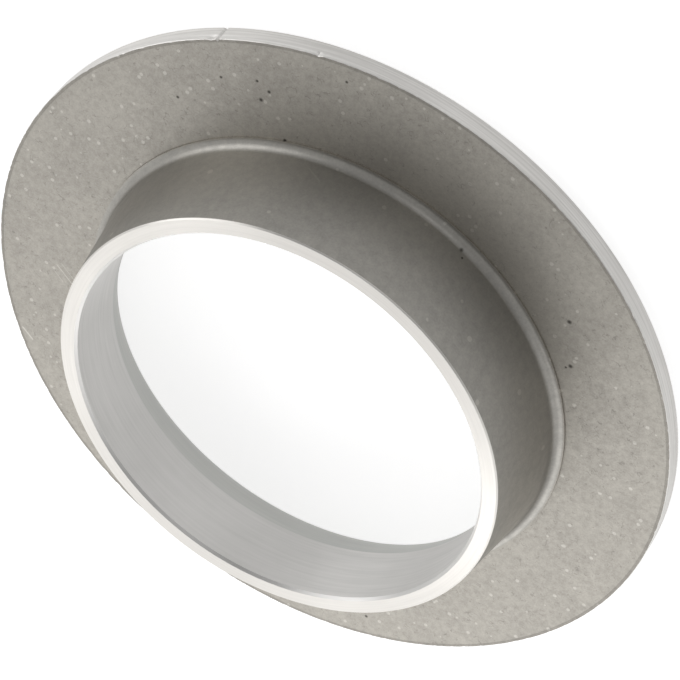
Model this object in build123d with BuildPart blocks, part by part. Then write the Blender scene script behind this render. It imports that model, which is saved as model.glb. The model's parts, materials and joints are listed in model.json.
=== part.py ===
"""Lap joint collar: a flat lap disc and a short welding neck in one piece of stainless steel.

The collar is welded to the end of a pipe by its neck. A loose backing flange slips over the
neck, bears on the back of the lap, and pulls the lap's flat gasket face onto the next joint.

Millimetres. The origin is the centre of the gasket face, and +Z runs along the neck to the
weld end, so the collar stands on its gasket face.
"""
import os
from math import radians, tan

from build123d import *

# Neck: a slightly conical hub that narrows to the outside of the pipe at the weld end
NECK_OUTER_DIAMETER = 88.9
NECK_WALL = 3.4
NECK_TAPER_ANGLE = 8.0
OVERALL_HEIGHT = 23.4

# Lap: the flat ring that carries the gasket face
LAP_DIAMETER = 138.0
LAP_THICKNESS = 4.0

# Root: the small outside fillet, which the backing flange's bore clears. It ends on a narrow
# land, a little above the lap's turned back face.
ROOT_RADIUS = 1.8
ROOT_LAND_WIDTH = 0.2
ROOT_LAND_HEIGHT = 0.4

# Mouth: the wide inside radius where the bore opens into the gasket face. The bore is turned
# this much past the radius's own start, which leaves a fine crease round it.
MOUTH_RADIUS = 11.3
BORE_SKIM = 0.1

# Broken edges
WELD_END_INNER_CHAMFER = 0.5
WELD_END_OUTER_CHAMFER = 0.25
RIM_GASKET_CHAMFER = 0.25
RIM_BACK_CHAMFER = 0.1

# Radii and levels of the turned section
neck_radius = NECK_OUTER_DIAMETER / 2
bore_radius = neck_radius - NECK_WALL
mouth_start_radius = bore_radius - BORE_SKIM
lap_radius = LAP_DIAMETER / 2
land_level = LAP_THICKNESS + ROOT_LAND_HEIGHT
root_corner_radius = neck_radius + (OVERALL_HEIGHT - land_level) * tan(radians(NECK_TAPER_ANGLE))
root_fillet_run = ROOT_RADIUS * tan(radians((90 - NECK_TAPER_ANGLE) / 2))
land_radius = root_corner_radius + root_fillet_run + ROOT_LAND_WIDTH


def corner_of(collar: BuildPart, level: float, radius: float) -> Edge:
    """Return the collar's circular edge nearest to a height and a radius."""
    circles = collar.edges().filter_by(GeomType.CIRCLE)
    return circles.sort_by(lambda edge: abs(edge.center().Z - level) + abs(edge.radius - radius))[0]


with BuildPart() as lap_collar:
    # Half section with sharp corners, from the mouth at the gasket face round to the weld end
    with BuildSketch(Plane.XZ):
        with BuildLine():
            Polyline(
                (mouth_start_radius, 0),
                (lap_radius, 0),
                (lap_radius, LAP_THICKNESS),
                (land_radius, LAP_THICKNESS),
                (land_radius, land_level),
                (root_corner_radius, land_level),
                (neck_radius, OVERALL_HEIGHT),
                (mouth_start_radius, OVERALL_HEIGHT),
                close=True,
            )
        make_face()
    revolve(axis=Axis.Z)

    # Root fillet outside and bell mouth inside
    fillet(corner_of(lap_collar, land_level, root_corner_radius), radius=ROOT_RADIUS)
    fillet(corner_of(lap_collar, 0, mouth_start_radius), radius=MOUTH_RADIUS)

    # Bore, turned to size from the weld end
    Cylinder(bore_radius, OVERALL_HEIGHT, align=(Align.CENTER, Align.CENTER, Align.MIN), mode=Mode.SUBTRACT)

    # Broken edges of the weld end and of the lap's rim
    chamfer(corner_of(lap_collar, OVERALL_HEIGHT, bore_radius), length=WELD_END_INNER_CHAMFER)
    chamfer(corner_of(lap_collar, OVERALL_HEIGHT, neck_radius), length=WELD_END_OUTER_CHAMFER)
    chamfer(corner_of(lap_collar, 0, lap_radius), length=RIM_GASKET_CHAMFER)
    chamfer(corner_of(lap_collar, LAP_THICKNESS, lap_radius), length=RIM_BACK_CHAMFER)

lap_collar.part.label = "lap_collar"

os.makedirs("parts", exist_ok=True)
export_step(lap_collar.part, "parts/lap_collar.step")
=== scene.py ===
"""A stainless steel lap joint collar, dressed and lit as a studio photograph shows it.

The collar is one turned piece: a flat lap disc, a filleted root, a short conical welding neck
and a bell-mouthed bore. The back of the lap and the neck keep the dull skin of a pressed and
pickled part, and the rim, the weld end, the bore, the mouth and the gasket face are turned.
"""
import json
import logging
import math
from dataclasses import dataclass, fields
from enum import Enum

import bpy
from mathutils import Matrix, Vector


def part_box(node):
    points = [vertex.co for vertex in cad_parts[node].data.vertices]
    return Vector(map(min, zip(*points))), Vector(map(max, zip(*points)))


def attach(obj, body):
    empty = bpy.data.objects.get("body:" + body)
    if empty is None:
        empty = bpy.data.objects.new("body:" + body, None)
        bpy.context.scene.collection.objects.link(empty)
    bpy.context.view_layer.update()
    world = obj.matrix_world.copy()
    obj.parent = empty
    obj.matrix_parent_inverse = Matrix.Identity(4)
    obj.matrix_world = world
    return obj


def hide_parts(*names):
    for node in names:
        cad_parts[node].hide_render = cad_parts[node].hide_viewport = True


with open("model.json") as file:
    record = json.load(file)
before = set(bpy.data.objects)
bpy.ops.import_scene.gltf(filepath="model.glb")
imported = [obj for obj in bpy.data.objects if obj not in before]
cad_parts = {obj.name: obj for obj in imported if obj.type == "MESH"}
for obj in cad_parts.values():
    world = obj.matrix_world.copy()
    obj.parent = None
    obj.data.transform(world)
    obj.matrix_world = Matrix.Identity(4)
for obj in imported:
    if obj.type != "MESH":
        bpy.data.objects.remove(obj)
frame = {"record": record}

log = logging.getLogger("lap_collar")

MM = 0.001
NODE = "lap_collar"

# Face attribute that holds a zone's number while the collar's tree runs
ZONE_NUMBER = "zone"

Value = bpy.types.NodeSocket | float
Rows = tuple[tuple, ...]


class Zone(Enum):
    """Stretches of the turned section, each with its own finish."""

    MOUTH = "mouth"
    BORE = "bore"
    WELD_END = "weld_end"
    NECK = "neck"
    LAP_BACK = "lap_back"
    RIM = "rim"
    GASKET_FACE = "gasket_face"


class Run(Enum):
    """The measure that a lathe's lines are spaced along."""

    HEIGHT = "height"
    RADIUS = "radius"


def srgb(code: str) -> tuple[float, float, float, float]:
    """Turn an sRGB hex colour into linear red, green, blue and alpha.

    Args:
        code: Six hex digits, with or without a leading hash.

    Returns:
        The colour in Blender's linear space, with alpha 1.
    """
    parts = [int(code.lstrip("#")[i:i + 2], 16) / 255 for i in (0, 2, 4)]
    linear = [c / 12.92 if c <= 0.04045 else ((c + 0.055) / 1.055) ** 2.4 for c in parts]
    return (*linear, 1.0)


def add(tree: bpy.types.NodeTree, kind: str, links: dict | None = None, **settings) -> bpy.types.Node:
    """Add a node to a tree, set it up and link its inputs.

    Args:
        tree: The node tree that gets the node.
        kind: The node's type name, such as "ShaderNodeMath".
        links: Input name or index to an output socket to link, or to a constant to set.
        settings: Properties of the node itself, such as operation.

    Returns:
        The new node.
    """
    node = tree.nodes.new(kind)
    for name, value in settings.items():
        setattr(node, name, value)
    for key, value in (links or {}).items():
        socket = node.inputs[key]
        if isinstance(value, bpy.types.NodeSocket):
            tree.links.new(value, socket)
        else:
            socket.default_value = value
    return node


def work_out(tree: bpy.types.NodeTree, known: dict[str, Value], rows: Rows) -> dict[str, Value]:
    """Work out named numbers one after the other, each from those named before it.

    Args:
        tree: The node tree that does the sums.
        known: Numbers that have a name already. The new ones are added to it.
        rows: One row a number: its name, the operation, and its terms as names or numbers.

    Returns:
        The same dictionary, with a socket for each new name.
    """
    for name, operation, *terms in rows:
        links = {i: known[term] if isinstance(term, str) else term for i, term in enumerate(terms)}
        known[name] = add(tree, "ShaderNodeMath", links, operation=operation).outputs[0]
    return known


@dataclass(frozen=True)
class Nick:
    """A knock in the rim, given by its place on the lap's edge.

    Attributes:
        angle: Where it lies round the axis, in degrees.
        lean: How far it turns from the gasket face to the back, in degrees.
        width: How wide it is at the rim, in millimetres.
        depth: How far it reaches in from the rim, in millimetres.
        floor: How far above the gasket face it ends, in millimetres.
    """

    angle: float
    lean: float
    width: float
    depth: float
    floor: float


@dataclass(frozen=True)
class Strip:
    """One stretch of the half section, swept once round the axis.

    Attributes:
        start: Name of the corner that it starts at.
        end: Name of the corner that it ends at.
        steps: Rows of faces along it.
        zone: The finish that it shows.
        centre: Name of the point that an arc is struck from, or nothing for a straight stretch.
        radius: Name of the arc's radius.
    """

    start: str
    end: str
    steps: int
    zone: Zone
    centre: str = ""
    radius: str = ""


# Radii and heights of the section's corners, worked out from the named sizes
SECTION_SUMS: Rows = (
    ("mouth_start", "SUBTRACT", "Bore Radius", "Bore Skim"),
    ("mouth_axis", "ADD", "mouth_start", "Mouth Radius"),
    ("mouth_reach", "SUBTRACT", "Mouth Radius", "Bore Skim"),
    ("mouth_square", "MULTIPLY", "Mouth Radius", "Mouth Radius"),
    ("reach_square", "MULTIPLY", "mouth_reach", "mouth_reach"),
    ("drop_square", "SUBTRACT", "mouth_square", "reach_square"),
    ("crease_drop", "SQRT", "drop_square"),
    ("crease_level", "SUBTRACT", "Mouth Radius", "crease_drop"),
    ("bore_top", "SUBTRACT", "Overall Height", "Weld Inner Chamfer"),
    ("weld_inner", "ADD", "Bore Radius", "Weld Inner Chamfer"),
    ("weld_outer", "SUBTRACT", "Neck Radius", "Weld Outer Chamfer"),
    ("neck_top", "SUBTRACT", "Overall Height", "Weld Outer Chamfer"),
    ("slope", "TANGENT", "Neck Taper"),
    ("neck_end", "MULTIPLY_ADD", "Weld Outer Chamfer", "slope", "Neck Radius"),
    ("land_level", "ADD", "Lap Thickness", "Root Land Height"),
    ("hub_rise", "SUBTRACT", "Overall Height", "land_level"),
    ("root_corner", "MULTIPLY_ADD", "hub_rise", "slope", "Neck Radius"),
    ("half_turn", "MULTIPLY_ADD", "Neck Taper", -0.5, math.pi / 4),
    ("half_slope", "TANGENT", "half_turn"),
    ("root_axis", "MULTIPLY_ADD", "Root Radius", "half_slope", "root_corner"),
    ("root_level", "ADD", "land_level", "Root Radius"),
    ("taper_sine", "SINE", "Neck Taper"),
    ("taper_cosine", "COSINE", "Neck Taper"),
    ("foot_in", "MULTIPLY", "Root Radius", "taper_cosine"),
    ("foot_down", "MULTIPLY", "Root Radius", "taper_sine"),
    ("neck_foot", "SUBTRACT", "root_axis", "foot_in"),
    ("foot_level", "SUBTRACT", "root_level", "foot_down"),
    ("land_edge", "ADD", "root_axis", "Root Land Width"),
    ("worn_edge", "SUBTRACT", "Lap Radius", "Wear Reach"),
    ("back_edge", "SUBTRACT", "Lap Radius", "Rim Back Chamfer"),
    ("rim_top", "SUBTRACT", "Lap Thickness", "Rim Back Chamfer"),
    ("gasket_edge", "SUBTRACT", "Lap Radius", "Rim Gasket Chamfer"),
)

# Corner name to the names of its radius and height, from the mouth up the bore and down outside
CORNERS: dict[str, tuple[str, str]] = {
    "mouth foot": ("mouth_axis", "ground"),
    "mouth centre": ("mouth_axis", "Mouth Radius"),
    "crease": ("Bore Radius", "crease_level"),
    "bore top": ("Bore Radius", "bore_top"),
    "weld end inside": ("weld_inner", "Overall Height"),
    "weld end outside": ("weld_outer", "Overall Height"),
    "neck top": ("neck_end", "neck_top"),
    "neck foot": ("neck_foot", "foot_level"),
    "root centre": ("root_axis", "root_level"),
    "root end": ("root_axis", "land_level"),
    "land edge": ("land_edge", "land_level"),
    "land foot": ("land_edge", "Lap Thickness"),
    "worn edge": ("worn_edge", "Lap Thickness"),
    "back edge": ("back_edge", "Lap Thickness"),
    "rim top": ("Lap Radius", "rim_top"),
    "rim foot": ("Lap Radius", "Rim Gasket Chamfer"),
    "gasket edge": ("gasket_edge", "ground"),
}

# In this order every strip's faces point out of the steel
STRIPS = (
    Strip("mouth foot", "crease", 24, Zone.MOUTH, "mouth centre", "Mouth Radius"),
    Strip("crease", "bore top", 5, Zone.BORE),
    Strip("bore top", "weld end inside", 1, Zone.BORE),
    Strip("weld end inside", "weld end outside", 2, Zone.WELD_END),
    Strip("weld end outside", "neck top", 1, Zone.WELD_END),
    Strip("neck top", "neck foot", 5, Zone.NECK),
    Strip("neck foot", "root end", 18, Zone.NECK, "root centre", "Root Radius"),
    Strip("root end", "land edge", 1, Zone.LAP_BACK),
    Strip("land edge", "land foot", 1, Zone.LAP_BACK),
    Strip("land foot", "worn edge", 5, Zone.LAP_BACK),
    Strip("worn edge", "back edge", 4, Zone.LAP_BACK),
    Strip("back edge", "rim top", 1, Zone.RIM),
    Strip("rim top", "rim foot", 8, Zone.RIM),
    Strip("rim foot", "gasket edge", 1, Zone.RIM),
    Strip("gasket edge", "mouth foot", 2, Zone.GASKET_FACE),
)


@dataclass
class Collar:
    """The collar's sizes in metres and radians, and the mesh that they make."""

    bore_radius: float
    neck_radius: float
    lap_radius: float
    lap_thickness: float
    overall_height: float
    neck_taper: float = math.radians(8.0)
    root_radius: float = 1.8 * MM
    root_land_width: float = 0.2 * MM
    root_land_height: float = 0.4 * MM
    mouth_radius: float = 11.3 * MM
    bore_skim: float = 0.1 * MM
    weld_inner_chamfer: float = 0.5 * MM
    weld_outer_chamfer: float = 0.25 * MM
    rim_gasket_chamfer: float = 0.25 * MM
    rim_back_chamfer: float = 0.1 * MM
    wear_reach: float = 1.6 * MM
    wear_depth: float = 0.16 * MM
    wear_pitch: float = 0.9 * MM
    wear_seed: float = 3.0
    coarse_steps: int = 880
    fine_steps: int = 80
    fine_start: float = math.radians(-47.0)
    fine_arc: float = math.radians(4.0)

    @classmethod
    def from_frame(cls) -> "Collar":
        """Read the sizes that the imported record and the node's box state.

        Returns:
            The collar at the size of the solid that it stands for.
        """
        neck_wall = 3.4 * MM
        mounts = {m["name"]: m for m in frame["record"]["mounts"]}
        low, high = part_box(NODE)
        bore = mounts["bore"]["dims"]["r_mm"] * MM
        return cls(
            bore_radius=bore,
            neck_radius=bore + neck_wall,
            lap_radius=(high[0] - low[0]) / 2,
            lap_thickness=mounts["lap_back"]["pos_m"][2],
            overall_height=mounts["weld_end"]["pos_m"][2],
        )

    @staticmethod
    def title(name: str) -> str:
        """Return the node input's name for a field of this class."""
        return name.replace("_", " ").title()

    def tree(self, nicks: tuple[Nick, ...]) -> bpy.types.NodeTree:
        """Build the Geometry Nodes tree that turns the section into a closed mesh.

        Args:
            nicks: Knocks in the rim.

        Returns:
            The tree, with one named input for each size and one for each zone's material.
        """
        tree = bpy.data.node_groups.new("turned collar", "GeometryNodeTree")
        tree.interface.new_socket(name="Geometry", in_out="OUTPUT", socket_type="NodeSocketGeometry")
        for size in fields(self):
            kind = "NodeSocketInt" if size.type is int else "NodeSocketFloat"
            tree.interface.new_socket(name=self.title(size.name), in_out="INPUT", socket_type=kind)
        for zone in Zone:
            tree.interface.new_socket(name=zone.value, in_out="INPUT", socket_type="NodeSocketMaterial")
        given = add(tree, "NodeGroupInput").outputs
        known: dict[str, Value] = {self.title(size.name): given[self.title(size.name)] for size in fields(self)}
        known["ground"] = 0.0
        work_out(tree, known, SECTION_SUMS)
        around = self.around(tree, known)
        joined = add(tree, "GeometryNodeJoinGeometry")
        for strip in reversed(STRIPS):
            tree.links.new(self.strip(tree, known, around, strip), joined.inputs[0])
        closed = add(tree, "GeometryNodeMergeByDistance", {"Geometry": joined.outputs[0], "Distance": 0.002 * MM})
        worn = self.knock(tree, known, closed.outputs[0], nicks)
        faces = add(tree, "GeometryNodeSetShadeSmooth", {"Geometry": worn, "Shade Smooth": True})
        angle = add(tree, "GeometryNodeInputMeshEdgeAngle")
        round_edge = add(tree, "FunctionNodeCompare", {"A": angle.outputs["Unsigned Angle"], "B": math.radians(6.0)},
                         data_type="FLOAT", operation="LESS_THAN")
        edges = add(tree, "GeometryNodeSetShadeSmooth",
                    {"Geometry": faces.outputs[0], "Shade Smooth": round_edge.outputs[0]}, domain="EDGE")
        dressed = add(tree, "GeometryNodeRealizeInstances", {"Geometry": edges.outputs[0]}).outputs[0]
        number = add(tree, "GeometryNodeInputNamedAttribute", {"Name": ZONE_NUMBER}, data_type="INT").outputs[0]
        for index, zone in enumerate(Zone):
            chosen = add(tree, "FunctionNodeCompare", {2: number, 3: index}, data_type="INT", operation="EQUAL")
            dressed = add(tree, "GeometryNodeSetMaterial", {
                "Geometry": dressed, "Selection": chosen.outputs[0], "Material": given[zone.value]}).outputs[0]
        add(tree, "NodeGroupOutput", {"Geometry": dressed})
        return tree

    @staticmethod
    def around(tree: bpy.types.NodeTree, known: dict[str, Value]) -> dict[str, Value]:
        """Work out a grid point's place along its strip and its angle round the axis.

        Args:
            tree: The collar's tree.
            known: The named sizes.

        Returns:
            The share along the strip as "along", and the angle in radians as "turn".
        """
        place = add(tree, "ShaderNodeSeparateXYZ", {0: add(tree, "GeometryNodeInputPosition").outputs[0]})
        known["grid_x"], known["grid_y"] = place.outputs[0], place.outputs[1]
        return work_out(tree, known, (
            ("along", "ADD", "grid_x", 0.5),
            ("share", "ADD", "grid_y", 0.5),
            ("all_steps", "ADD", "Coarse Steps", "Fine Steps"),
            ("exact_step", "MULTIPLY", "share", "all_steps"),
            ("step", "ROUND", "exact_step"),
            ("fine_part", "MINIMUM", "step", "Fine Steps"),
            ("coarse_part", "SUBTRACT", "step", "fine_part"),
            ("fine_turn", "DIVIDE", "Fine Arc", "Fine Steps"),
            ("coarse_arc", "SUBTRACT", math.tau, "Fine Arc"),
            ("coarse_turn", "DIVIDE", "coarse_arc", "Coarse Steps"),
            ("nick_turn", "MULTIPLY_ADD", "fine_part", "fine_turn", "Fine Start"),
            ("turn", "MULTIPLY_ADD", "coarse_part", "coarse_turn", "nick_turn"),
        ))

    @staticmethod
    def strip(tree: bpy.types.NodeTree, known: dict[str, Value], around: dict[str, Value],
              strip: Strip) -> bpy.types.NodeSocket:
        """Sweep one stretch of the section round the axis and number its faces by their zone.

        An arc is the straight stretch between its ends, pushed out from its centre to its radius.

        Args:
            tree: The collar's tree.
            known: The named sizes.
            around: The place along the strip and the angle round the axis.
            strip: The stretch to sweep.

        Returns:
            The strip's mesh.
        """
        def corner(name: str) -> bpy.types.NodeSocket:
            """Return a corner of the section as a vector in the XZ plane."""
            radius, height = CORNERS[name]
            return add(tree, "ShaderNodeCombineXYZ", {"X": known[radius], "Z": known[height]}).outputs[0]

        rows = add(tree, "ShaderNodeMath", {0: known["all_steps"], 1: 1.0}, operation="ADD")
        grid = add(tree, "GeometryNodeMeshGrid",
                   {"Size X": 1.0, "Size Y": 1.0, "Vertices X": strip.steps + 1, "Vertices Y": rows.outputs[0]})
        mix = add(tree, "ShaderNodeMix", {0: around["along"], 4: corner(strip.start), 5: corner(strip.end)},
                  data_type="VECTOR")
        point = mix.outputs[1]
        if strip.centre:
            centre = corner(strip.centre)
            spoke = add(tree, "ShaderNodeVectorMath", {0: point, 1: centre}, operation="SUBTRACT")
            unit = add(tree, "ShaderNodeVectorMath", {0: spoke.outputs[0]}, operation="NORMALIZE")
            reach = add(tree, "ShaderNodeVectorMath", {0: unit.outputs[0], "Scale": known[strip.radius]},
                        operation="SCALE")
            point = add(tree, "ShaderNodeVectorMath", {0: reach.outputs[0], 1: centre}, operation="ADD").outputs[0]
        turned = add(tree, "ShaderNodeVectorRotate", {"Vector": point, "Angle": around["turn"]},
                     rotation_type="Z_AXIS")
        placed = add(tree, "GeometryNodeSetPosition", {"Geometry": grid.outputs[0], "Position": turned.outputs[0]})
        numbered = add(tree, "GeometryNodeStoreNamedAttribute",
                       {"Geometry": placed.outputs[0], "Name": ZONE_NUMBER, "Value": list(Zone).index(strip.zone)},
                       data_type="INT", domain="FACE")
        return numbered.outputs[0]

    @staticmethod
    def knock(tree: bpy.types.NodeTree, known: dict[str, Value], mesh: bpy.types.NodeSocket,
              nicks: tuple[Nick, ...]) -> bpy.types.NodeSocket:
        """Press the nicks into the rim and nibble its back edge, always inwards.

        Args:
            tree: The collar's tree.
            known: The named sizes.
            mesh: The closed mesh.
            nicks: Knocks in the rim.

        Returns:
            The worn mesh.
        """
        position = add(tree, "GeometryNodeInputPosition").outputs[0]
        place = add(tree, "ShaderNodeSeparateXYZ", {0: position})
        known["x"], known["y"], known["z"] = place.outputs
        noise_scale = add(tree, "ShaderNodeMath", {0: 1.0, 1: known["Wear Pitch"]}, operation="DIVIDE")
        noise = add(tree, "ShaderNodeTexNoise",
                    {"Vector": position, "W": known["Wear Seed"], "Scale": noise_scale.outputs[0], "Detail": 3.0},
                    noise_dimensions="4D")
        known["noise"] = noise.outputs[0]
        work_out(tree, known, (
            ("xx", "MULTIPLY", "x", "x"),
            ("rr", "MULTIPLY_ADD", "y", "y", "xx"),
            ("radius", "SQRT", "rr"),
            ("bearing", "ARCTAN2", "y", "x"),
            ("from_worn", "SUBTRACT", "radius", "worn_edge"),
            ("raw_reach", "DIVIDE", "from_worn", "Wear Reach"),
            ("reach_floor", "MAXIMUM", "raw_reach", 0.0),
            ("reach", "MINIMUM", "reach_floor", 1.0),
            ("raw_bite", "SUBTRACT", "noise", 0.5),
            ("bite_floor", "MAXIMUM", "raw_bite", 0.0),
            ("bite", "MULTIPLY", "bite_floor", 4.0),
            ("half_thick", "MULTIPLY", "Lap Thickness", 0.9),
            ("on_back", "GREATER_THAN", "z", "half_thick"),
            ("bite_deep", "MULTIPLY", "bite", "Wear Depth"),
            ("knocked", "MULTIPLY", "bite_deep", "on_back"),
        ))
        for nick in nicks:
            work_out(tree, known, (
                ("lean", "DIVIDE", math.radians(nick.lean), "Lap Thickness"),
                ("nick_angle", "MULTIPLY_ADD", "z", "lean", math.radians(nick.angle)),
                ("off_angle", "SUBTRACT", "bearing", "nick_angle"),
                ("off", "MULTIPLY", "off_angle", "radius"),
                ("off_centre", "ABSOLUTE", "off"),
                ("off_share", "DIVIDE", "off_centre", nick.width / 2 * MM),
                ("raw_near", "SUBTRACT", 1.0, "off_share"),
                ("near", "MAXIMUM", "raw_near", 0.0),
                ("above", "GREATER_THAN", "z", nick.floor * MM),
                ("deep", "MULTIPLY", "near", nick.depth * MM),
                ("cut", "MULTIPLY", "deep", "above"),
                ("knocked", "MAXIMUM", "knocked", "cut"),
            ))
        work_out(tree, known, (
            ("inward", "MULTIPLY", "knocked", "reach"),
            ("worn_radius", "SUBTRACT", "radius", "inward"),
            ("shrink", "DIVIDE", "worn_radius", "radius"),
            ("new_x", "MULTIPLY", "x", "shrink"),
            ("new_y", "MULTIPLY", "y", "shrink"),
        ))
        moved = add(tree, "ShaderNodeCombineXYZ", {"X": known["new_x"], "Y": known["new_y"], "Z": known["z"]})
        set_place = add(tree, "GeometryNodeSetPosition", {"Geometry": mesh, "Position": moved.outputs[0]})
        return set_place.outputs[0]

    def build(self, materials: dict[Zone, bpy.types.Material], nicks: tuple[Nick, ...]) -> bpy.types.Object:
        """Turn the section, bake the result to a plain mesh and take the modifier off.

        Args:
            materials: The finish of each zone.
            nicks: Knocks in the rim.

        Returns:
            The collar's object, at the origin.
        """
        tree = self.tree(nicks)
        piece = bpy.data.objects.new("collar", bpy.data.meshes.new("collar"))
        bpy.context.scene.collection.objects.link(piece)
        modifier = piece.modifiers.new("turned collar", "NODES")
        modifier.node_group = tree
        inputs = {s.name: s.identifier for s in tree.interface.items_tree if s.in_out == "INPUT"}
        for size in fields(self):
            modifier[inputs[self.title(size.name)]] = getattr(self, size.name)
        for zone in Zone:
            modifier[inputs[zone.value]] = materials[zone]
        graph = bpy.context.evaluated_depsgraph_get()
        mesh = bpy.data.meshes.new_from_object(piece.evaluated_get(graph), depsgraph=graph)
        # The strips start with an empty slot, and the zone numbers have done their work
        mesh.materials.pop(index=0)
        mesh.attributes.remove(mesh.attributes[ZONE_NUMBER])
        piece.modifiers.remove(modifier)
        piece.data = mesh
        mesh.name = "collar"
        log.info("collar: %d faces in %d strips, %d nicks", len(mesh.polygons), len(STRIPS), len(nicks))
        return piece


@dataclass(frozen=True)
class Mark:
    """A small round mark on the skin.

    Attributes:
        radius: Its distance from the axis, in millimetres.
        angle: Where it lies round the axis, in degrees.
        size: Its width, in millimetres.
        height: Its height above the gasket face, in millimetres.
    """

    radius: float
    angle: float
    size: float
    height: float = 4.0

    def place(self) -> Vector:
        """Return the mark's place in millimetres."""
        turn = math.radians(self.angle)
        return Vector((self.radius * math.cos(turn), self.radius * math.sin(turn), self.height))


@dataclass(frozen=True)
class Scratch:
    """A straight scratch on the skin, from one mark to another.

    Attributes:
        start: Its first end.
        end: Its other end. Its size is the scratch's width.
        strength: How pale its middle is, from 0 to 1.
    """

    start: Mark
    end: Mark
    strength: float


@dataclass(frozen=True)
class PickledSkin:
    """Stainless steel that was hot formed, blasted and pickled.

    The acid eats a fine grain into the skin, so it scatters light widely and looks a dull warm
    grey. Soft clouds, fine mottle, pale rubbed specks and small dark pits show in it.

    Attributes:
        name: The material's name.
        dark: Colour of the mottle's hollows.
        light: Colour of its rubbed tops.
        pale: Colour of rubbed specks and scratches.
        roughness: Mean roughness.
        grain: Width of the finest grain, in millimetres. The real grain is a tenth of that, and
            is drawn as coarse as it needs to be to show.
        mottle: Width of the mottle, in millimetres.
        cloud: Width of the soft clouds, in millimetres.
        relief: Height of the grain, in millimetres.
        specks: Share of the skin's cells that hold a rubbed speck.
        worms: How dark the short curled marks are, from 0 to 1.
        tarnish: Radius where the edge's thin dark line of painted shade starts, in millimetres, or 0 for none.
        pits: Dark pits.
        scratches: Pale scratches.
    """

    name: str
    dark: str
    light: str
    pale: str
    roughness: float
    grain: float = 0.34
    mottle: float = 1.1
    cloud: float = 12.0
    relief: float = 0.012
    specks: float = 0.2
    worms: float = 0.0
    # Painted shade: past this radius a thin dark line is painted along the outer edge
    tarnish: float = 0.0
    pits: tuple[Mark, ...] = ()
    scratches: tuple[Scratch, ...] = ()

    def pattern(self, tree: bpy.types.NodeTree, place: bpy.types.NodeSocket) -> dict[str, Value]:
        """Add the skin's noises and work out its tone.

        Args:
            tree: The material's tree.
            place: Object coordinates in millimetres.

        Returns:
            The tone from 0, hollow, to 1, rubbed, as "tone", and what it was made from.
        """
        known: dict[str, Value] = {}
        for name, width, detail in (("grain", self.grain, 2.0), ("mottle", self.mottle, 3.0),
                                    ("cloud", self.cloud, 2.0), ("curl", self.mottle * 1.5, 1.0),
                                    ("patch", self.mottle * 1.3, 1.0)):
            links = {"Vector": place, "Scale": 1.0 / width, "Detail": detail, "W": width}
            known[name] = add(tree, "ShaderNodeTexNoise", links, noise_dimensions="4D").outputs[0]
        cells = add(tree, "ShaderNodeTexVoronoi", {"Vector": place, "Scale": 1.0 / (self.mottle * 1.6)})
        known["cell_middle"] = cells.outputs["Distance"]
        known["cell_draw"] = add(tree, "ShaderNodeSeparateColor", {0: cells.outputs["Color"]}).outputs[0]
        return work_out(tree, known, (
            ("fine", "MULTIPLY_ADD", "grain", 1.5, -0.75),
            ("middle", "MULTIPLY_ADD", "mottle", 1.3, "fine"),
            ("coarse", "MULTIPLY_ADD", "cloud", 1.0, "middle"),
            ("tone", "SUBTRACT", "coarse", 0.65),
            ("speck_core", "LESS_THAN", "cell_middle", 0.22),
            ("speck_drawn", "LESS_THAN", "cell_draw", self.specks),
            ("speck", "MULTIPLY", "speck_core", "speck_drawn"),
            ("curl_off", "SUBTRACT", "curl", 0.5),
            ("curl_near", "ABSOLUTE", "curl_off"),
            ("curl_line", "LESS_THAN", "curl_near", 0.014),
            ("curl_drawn", "GREATER_THAN", "patch", 0.56),
            ("curl_part", "MULTIPLY", "curl_line", "curl_drawn"),
            ("worm", "MULTIPLY", "curl_part", self.worms),
        ))

    def marks(self, tree: bpy.types.NodeTree, place: bpy.types.NodeSocket, known: dict[str, Value]) -> None:
        """Add the pits as "pit" and the scratches as "scratch", from 0 to 1.

        Args:
            tree: The material's tree.
            place: Object coordinates in millimetres.
            known: Named numbers, which get the two.
        """
        known["pit"] = 0.0
        for mark in self.pits:
            away = add(tree, "ShaderNodeVectorMath", {0: place, 1: mark.place()}, operation="DISTANCE")
            known["away"] = away.outputs["Value"]
            work_out(tree, known, (
                ("away_share", "DIVIDE", "away", mark.size / 2),
                ("raw_hole", "SUBTRACT", 1.5, "away_share"),
                ("hole_floor", "MAXIMUM", "raw_hole", 0.0),
                ("hole", "MINIMUM", "hole_floor", 1.0),
                ("pit", "MAXIMUM", "pit", "hole"),
            ))
        known["scratch"] = 0.0
        for scratch in self.scratches:
            start, end = scratch.start.place(), scratch.end.place()
            from_start = add(tree, "ShaderNodeVectorMath", {0: place, 1: start}, operation="SUBTRACT")
            dot = add(tree, "ShaderNodeVectorMath", {0: from_start.outputs[0], 1: end - start}, operation="DOT_PRODUCT")
            known["dot"] = dot.outputs["Value"]
            work_out(tree, known, (
                ("raw_along", "DIVIDE", "dot", (end - start).length_squared),
                ("along_floor", "MAXIMUM", "raw_along", 0.0),
                ("along", "MINIMUM", "along_floor", 1.0),
            ))
            run = add(tree, "ShaderNodeVectorMath", {0: end - start, "Scale": known["along"]}, operation="SCALE")
            away = add(tree, "ShaderNodeVectorMath", {0: from_start.outputs[0], 1: run.outputs[0]}, operation="DISTANCE")
            known["away"] = away.outputs["Value"]
            work_out(tree, known, (
                ("away_share", "DIVIDE", "away", scratch.end.size / 2),
                ("raw_line", "SUBTRACT", 1.0, "away_share"),
                ("line_floor", "MAXIMUM", "raw_line", 0.0),
                ("line", "MULTIPLY", "line_floor", scratch.strength),
                ("scratch", "MAXIMUM", "scratch", "line"),
            ))

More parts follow.
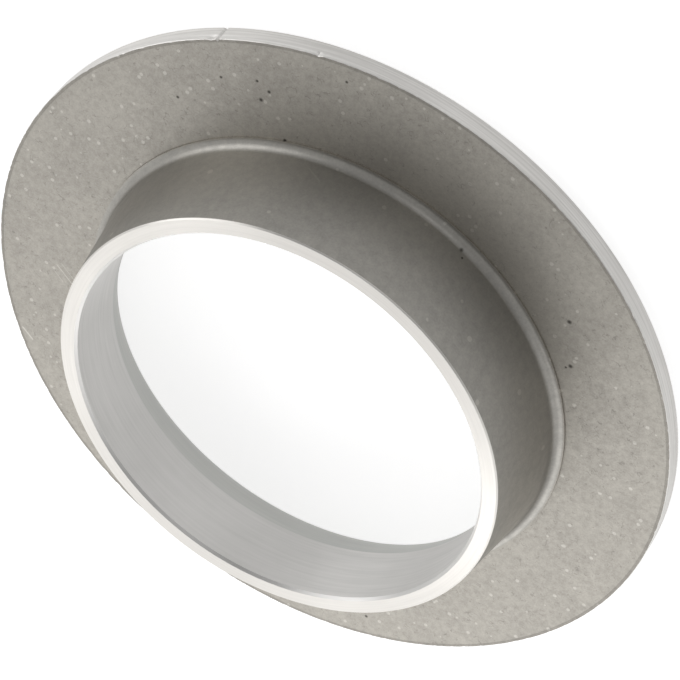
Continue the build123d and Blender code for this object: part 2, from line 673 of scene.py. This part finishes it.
    def material(self) -> bpy.types.Material:
        """Build the material.

        Returns:
            The skin's material.
        """
        material = bpy.data.materials.new(self.name)
        material.use_nodes = True
        tree = material.node_tree
        tree.nodes.clear()
        coordinates = add(tree, "ShaderNodeTexCoord")
        place = add(tree, "ShaderNodeMapping",
                    {"Vector": coordinates.outputs["Object"], "Scale": (1 / MM, 1 / MM, 1 / MM)}).outputs[0]
        known = self.pattern(tree, place)
        self.marks(tree, place, known)
        axes = add(tree, "ShaderNodeSeparateXYZ", {0: place})
        known["x"], known["y"] = axes.outputs[0], axes.outputs[1]
        work_out(tree, known, (
            ("xx", "MULTIPLY", "x", "x"),
            ("rr", "MULTIPLY_ADD", "y", "y", "xx"),
            ("radius", "SQRT", "rr"),
            # Painted shade: past the given radius a thin dark line along the outer edge stands in for the edge's
            # shading
            ("edge", "GREATER_THAN", "radius", self.tarnish or 1000.0),
            ("painted_edge_shade", "MULTIPLY", "edge", 0.25),
            ("rubbed", "MULTIPLY", "speck", 0.5),
            ("pale", "MAXIMUM", "rubbed", "scratch"),
            ("pit_dark", "MULTIPLY", "pit", 0.8),
            ("worn_dark", "MAXIMUM", "pit_dark", "worm"),
            ("shade", "MAXIMUM", "worn_dark", "painted_edge_shade"),
            ("bright", "SUBTRACT", 1.0, "shade"),
            ("deep", "MULTIPLY", "shade", -3.0),
            ("high", "MULTIPLY_ADD", "mottle", 0.6, "grain"),
            ("height", "ADD", "high", "deep"),
            ("rough_part", "MULTIPLY_ADD", "mottle", -0.16, self.roughness + 0.08),
            ("rough", "MULTIPLY_ADD", "pale", -0.08, "rough_part"),
        ))
        base = add(tree, "ShaderNodeMix", {0: known["tone"], 6: srgb(self.dark), 7: srgb(self.light)}, data_type="RGBA")
        rub = add(tree, "ShaderNodeMix", {0: known["pale"], 6: base.outputs[2], 7: srgb(self.pale)}, data_type="RGBA")
        # Darkens the pits and curled marks, and paints the dark line of shade along the outer edge
        dirt = add(tree, "ShaderNodeMix", {0: known["shade"], 6: rub.outputs[2], 7: srgb("#2A2823")}, data_type="RGBA")
        bump = add(tree, "ShaderNodeBump", {"Height": known["height"], "Distance": self.relief * MM, "Strength": 1.0})
        shader = add(tree, "ShaderNodeBsdfPrincipled", {
            "Base Color": dirt.outputs[2], "Metallic": 1.0, "Roughness": known["rough"], "Normal": bump.outputs[0]})
        add(tree, "ShaderNodeOutputMaterial", {"Surface": shader.outputs[0]})
        return material


@dataclass(frozen=True)
class TurnedSteel:
    """Stainless steel that was turned on a lathe.

    The tool leaves fine lines round the axis, so the metal is bright, with a soft gloss that the
    lines break into thin lighter and darker threads.

    Attributes:
        name: The material's name.
        dark: Colour between the lines.
        light: Colour of their tops.
        roughness: Mean roughness.
        run: What the lines are spaced along: the height on a wall, the radius on a flat face.
        pitch: Spacing of the lines, in millimetres. The tool's real feed is about a tenth of a
            millimetre, and is drawn coarser so that it shows.
        reach: Length of a thread before it fades, in millimetres.
        relief: Height of the lines, in millimetres.
        lines: How strongly the lines show, from 0 to 1.
        spread: How much more the gloss spreads across the lines than along them, from 0 to 1.
    """

    name: str
    dark: str
    light: str
    roughness: float
    run: Run
    pitch: float = 0.4
    reach: float = 18.0
    relief: float = 0.002
    lines: float = 1.0
    spread: float = 0.8

    def material(self) -> bpy.types.Material:
        """Build the material.

        Returns:
            The turned metal's material.
        """
        material = bpy.data.materials.new(self.name)
        material.use_nodes = True
        tree = material.node_tree
        tree.nodes.clear()
        coordinates = add(tree, "ShaderNodeTexCoord")
        place = add(tree, "ShaderNodeMapping",
                    {"Vector": coordinates.outputs["Object"], "Scale": (1 / MM, 1 / MM, 1 / MM)}).outputs[0]
        axes = add(tree, "ShaderNodeSeparateXYZ", {0: place})
        known: dict[str, Value] = {"x": axes.outputs[0], "y": axes.outputs[1], Run.HEIGHT.value: axes.outputs[2]}
        work_out(tree, known, (
            ("xx", "MULTIPLY", "x", "x"),
            ("rr", "MULTIPLY_ADD", "y", "y", "xx"),
            (Run.RADIUS.value, "SQRT", "rr"),
            ("x_round", "DIVIDE", "x", self.reach),
            ("y_round", "DIVIDE", "y", self.reach),
            ("along", "DIVIDE", self.run.value, self.pitch),
        ))
        turned = add(tree, "ShaderNodeCombineXYZ", {0: known["x_round"], 1: known["y_round"], 2: known["along"]})
        known["lines"] = add(tree, "ShaderNodeTexNoise", {"Vector": turned.outputs[0], "Scale": 1.0, "Detail": 3.0}).outputs[0]
        known["cloud"] = add(tree, "ShaderNodeTexNoise", {"Vector": place, "Scale": 1.0 / 9.0, "Detail": 2.0}).outputs[0]
        work_out(tree, known, (
            ("contrast", "MULTIPLY_ADD", "lines", 2.0 * self.lines, 0.25 - self.lines),
            ("tone", "MULTIPLY_ADD", "cloud", 0.5, "contrast"),
            ("rough", "MULTIPLY_ADD", "lines", 0.1, self.roughness - 0.05),
        ))
        base = add(tree, "ShaderNodeMix", {0: known["tone"], 6: srgb(self.dark), 7: srgb(self.light)}, data_type="RGBA")
        bump = add(tree, "ShaderNodeBump", {"Height": known["lines"], "Distance": self.relief * MM, "Strength": 1.0})
        around = add(tree, "ShaderNodeTangent", direction_type="RADIAL", axis="Z")
        shader = add(tree, "ShaderNodeBsdfPrincipled", {
            "Base Color": base.outputs[2], "Metallic": 1.0, "Roughness": known["rough"], "Anisotropic": self.spread,
            "Anisotropic Rotation": 0.25, "Tangent": around.outputs[0], "Normal": bump.outputs[0]})
        add(tree, "ShaderNodeOutputMaterial", {"Surface": shader.outputs[0]})
        return material


# Pits and scratches of the lap's back, by radius and angle
LAP_PITS = (
    Mark(58.1, -33.0, 0.55),
    Mark(61.2, -43.7, 0.5),
    Mark(60.8, -50.6, 0.5),
    Mark(58.8, -52.5, 0.6),
    Mark(56.9, -50.5, 0.7),
    Mark(65.3, -66.8, 0.5),
    Mark(55.8, -122.4, 0.8),
    Mark(52.2, -132.3, 0.75),
    Mark(51.2, -132.6, 0.4),
    Mark(63.9, 126.0, 0.6),
    Mark(48.9, -54.0, 0.6),
)
LAP_SCRATCHES = (
    Scratch(Mark(56.6, 26.1, 0.3), Mark(53.6, 29.8, 0.3), 0.8),
    Scratch(Mark(55.6, 25.4, 0.3), Mark(53.0, 28.6, 0.25), 0.6),
    Scratch(Mark(57.4, 27.6, 0.3), Mark(55.6, 30.0, 0.25), 0.6),
    Scratch(Mark(67.9, 42.6, 0.5), Mark(66.6, 45.0, 0.5), 0.9),
)
NECK_PITS = (
    Mark(47.2, -99.1, 0.7, 5.6),
    Mark(46.8, -100.3, 0.4, 6.6),
)
NECK_SCRATCHES = (
    Scratch(Mark(47.6, -57.1, 0.5, 4.9), Mark(46.5, -65.3, 0.5, 9.3), 0.5),
)

FINISHES: dict[Zone, PickledSkin | TurnedSteel] = {
    # The lap back paints a thin dark line of shade along its outer edge, from 68.3 mm out
    Zone.LAP_BACK: PickledSkin("pickled stainless lap back", "#A39F98", "#B7B3AB", "#D2CFC8", 0.5,
                               worms=0.2, tarnish=68.3, pits=LAP_PITS, scratches=LAP_SCRATCHES),
    Zone.NECK: PickledSkin("pickled stainless neck", "#9E9C97", "#AFACA6", "#C6C3BC", 0.42, grain=0.4, mottle=1.6,
                           relief=0.006, specks=0.08, pits=NECK_PITS, scratches=NECK_SCRATCHES),
    Zone.RIM: TurnedSteel("turned stainless rim", "#DAD8D4", "#F6F4F1", 0.42, Run.HEIGHT, pitch=0.35),
    Zone.WELD_END: TurnedSteel("turned stainless weld end", "#E0DDD8", "#F0EDE8", 0.4, Run.RADIUS, lines=0.6),
    Zone.BORE: TurnedSteel("turned stainless bore", "#DBDAD7", "#EFEDEB", 0.42, Run.HEIGHT, pitch=0.6, lines=0.6),
    Zone.MOUTH: TurnedSteel("turned stainless mouth", "#CBCCC9", "#DBDBD7", 0.35, Run.HEIGHT, pitch=0.5, lines=0.6),
    Zone.GASKET_FACE: TurnedSteel("turned stainless gasket face", "#C9C7C2", "#E2E0DB", 0.3, Run.RADIUS, pitch=0.8),
}


@dataclass(frozen=True)
class SoftBox:
    """A square soft box that faces the collar.

    Attributes:
        name: What it is called in the scene.
        place: Where its middle hangs, in metres.
        size: Its side, in metres.
        power: Its power, in watts.
    """

    name: str
    place: tuple[float, float, float]
    size: float
    power: float

    def hang(self) -> None:
        """Add the soft box to the scene."""
        data = bpy.data.lights.new(self.name, "AREA")
        data.size = self.size
        data.energy = self.power
        lamp = bpy.data.objects.new(self.name, data)
        bpy.context.scene.collection.objects.link(lamp)
        lamp.location = self.place
        lamp.rotation_mode = "QUATERNION"
        lamp.rotation_quaternion = (-Vector(self.place)).to_track_quat("-Z", "Y")


@dataclass(frozen=True)
class Studio:
    """Camera, floor, surrounding light and soft boxes.

    Attributes:
        elevation: The camera's height over the horizon, in degrees.
        distance: From the middle of the gasket face to the camera, in metres.
        roll: The camera's turn about its own line of sight, in degrees.
        focal_length: The lens, in millimetres, on a 36 mm frame.
        aim: The point that the camera looks at, in metres.
        floor_colour: The floor paper's colour.
        floor_white: What the floor adds where the camera sees it, so that it shows white.
        floor_gloss: What it adds where the steel mirrors it.
        room: Strength of the even light from all sides.
        back: Strength of the light that grows towards the back, +Y.
        side: Strength of the light that grows towards the side, +X.
        top: Strength of the light that grows upwards.
        boxes: The soft boxes.
    """

    elevation: float = 42.11
    distance: float = 0.6104
    roll: float = -142.28
    focal_length: float = 174.58
    aim: tuple[float, float, float] = (-0.35 * MM, -2.81 * MM, 0.0)
    floor_colour: str = "#CBCBCB"
    floor_white: float = 0.7
    floor_gloss: float = 0.41
    room: float = 0.262
    back: float = 0.87
    side: float = 0.0
    top: float = 0.0
    boxes: tuple[SoftBox, ...] = (
        SoftBox("back box", (0.0, 0.6, 0.15), 0.4, 0.63),
        SoftBox("left box", (-0.3, 0.33, 0.33), 0.35, 0.41),
        SoftBox("right box", (0.8, -0.1, 0.35), 0.6, 1.61),
        SoftBox("far left box", (-0.8, -0.1, 0.35), 0.6, 0.51),
        SoftBox("front box", (0.0, -0.9, 0.5), 0.6, 0.52),
    )

    def camera(self) -> None:
        """Place the camera at the photograph's viewing angle."""
        data = bpy.data.cameras.new("camera")
        data.lens = self.focal_length
        data.sensor_width = 36.0
        data.clip_start, data.clip_end = 0.01, 20.0
        cam = bpy.data.objects.new("camera", data)
        bpy.context.scene.collection.objects.link(cam)
        rise = math.radians(self.elevation)
        place = Vector((0, -math.cos(rise), math.sin(rise))) * self.distance
        look = (Vector(self.aim) - place).to_track_quat("-Z", "Y").to_matrix().to_4x4()
        cam.matrix_world = Matrix.Translation(place) @ look @ Matrix.Rotation(math.radians(self.roll), 4, "Z")
        bpy.context.scene.camera = cam

    def floor(self) -> None:
        """Lay a pale paper floor that shows white and keeps the collar's soft shadow."""
        half, drop = 6.0, 0.05 * MM
        corners = [(-half, -half, -drop), (half, -half, -drop), (half, half, -drop), (-half, half, -drop)]
        mesh = bpy.data.meshes.new("floor")
        mesh.from_pydata(corners, [], [(0, 1, 2, 3)])
        floor = bpy.data.objects.new("floor", mesh)
        bpy.context.scene.collection.objects.link(floor)
        material = bpy.data.materials.new("matt white paper")
        material.use_nodes = True
        tree = material.node_tree
        tree.nodes.clear()
        path = add(tree, "ShaderNodeLightPath")
        known: dict[str, Value] = {"camera": path.outputs["Is Camera Ray"], "gloss": path.outputs["Is Glossy Ray"],
                                   "through": path.outputs["Is Transmission Ray"]}
        work_out(tree, known, (
            ("mirrored", "MAXIMUM", "gloss", "through"),
            ("mirror_glow", "MULTIPLY", "mirrored", self.floor_gloss),
            ("glow", "MULTIPLY_ADD", "camera", self.floor_white, "mirror_glow"),
        ))
        paper = add(tree, "ShaderNodeBsdfDiffuse", {"Color": srgb(self.floor_colour)})
        white = add(tree, "ShaderNodeEmission", {"Color": srgb("#FFFFFF"), "Strength": known["glow"]})
        both = add(tree, "ShaderNodeAddShader", {0: paper.outputs[0], 1: white.outputs[0]})
        below = add(tree, "ShaderNodeNewGeometry").outputs["Backfacing"]
        clear = add(tree, "ShaderNodeBsdfTransparent")
        side = add(tree, "ShaderNodeMixShader", {0: below, 1: both.outputs[0], 2: clear.outputs[0]})
        add(tree, "ShaderNodeOutputMaterial", {"Surface": side.outputs[0]})
        mesh.materials.append(material)

    def surroundings(self) -> None:
        """Surround everything with soft light that is strongest behind the collar."""
        world = bpy.data.worlds.new("studio")
        bpy.context.scene.world = world
        world.use_nodes = True
        tree = world.node_tree
        tree.nodes.clear()
        way = add(tree, "ShaderNodeSeparateXYZ", {0: add(tree, "ShaderNodeTexCoord").outputs["Generated"]})
        known: dict[str, Value] = {"x": way.outputs[0], "y": way.outputs[1], "z": way.outputs[2]}
        work_out(tree, known, (
            ("back_half", "MULTIPLY_ADD", "y", 0.5, 0.5),
            ("back_square", "MULTIPLY", "back_half", "back_half"),
            ("side_half", "MULTIPLY_ADD", "x", 0.5, 0.5),
            ("side_square", "MULTIPLY", "side_half", "side_half"),
            ("up", "MAXIMUM", "z", 0.0),
            ("up_square", "MULTIPLY", "up", "up"),
            ("with_back", "MULTIPLY_ADD", "back_square", self.back, self.room),
            ("with_side", "MULTIPLY_ADD", "side_square", self.side, "with_back"),
            ("light", "MULTIPLY_ADD", "up_square", self.top, "with_side"),
        ))
        room = add(tree, "ShaderNodeBackground", {"Color": known["light"], "Strength": 1.0})
        white = add(tree, "ShaderNodeBackground", {"Color": srgb("#FFFFFF"), "Strength": 1.0})
        seen = add(tree, "ShaderNodeLightPath").outputs["Is Camera Ray"]
        mix = add(tree, "ShaderNodeMixShader", {0: seen, 1: room.outputs[0], 2: white.outputs[0]})
        add(tree, "ShaderNodeOutputWorld", {"Surface": mix.outputs[0]})

    def build(self) -> None:
        """Set up the whole studio."""
        self.camera()
        self.floor()
        self.surroundings()
        for box in self.boxes:
            box.hang()
        bpy.context.scene.view_settings.view_transform = "Standard"
        log.info("studio: camera, floor and %d soft boxes", len(self.boxes))


# The knock across the rim, the worn flat beside it, and a smaller chip further round
NICKS = (
    Nick(angle=-45.3, lean=-0.1, width=0.75, depth=0.5, floor=-1.0),
    Nick(angle=-44.3, lean=0.0, width=2.4, depth=0.22, floor=2.6),
    Nick(angle=-62.0, lean=0.0, width=1.4, depth=0.25, floor=3.0),
)


def main() -> None:
    """Build the collar and the studio."""
    logging.basicConfig(level=logging.INFO, format="%(name)s: %(message)s")
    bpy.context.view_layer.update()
    materials = {zone: finish.material() for zone, finish in FINISHES.items()}
    collar = Collar.from_frame().build(materials, NICKS)
    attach(collar, "root")
    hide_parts(NODE)
    Studio().build()


if __name__ == "__main__":
    main()
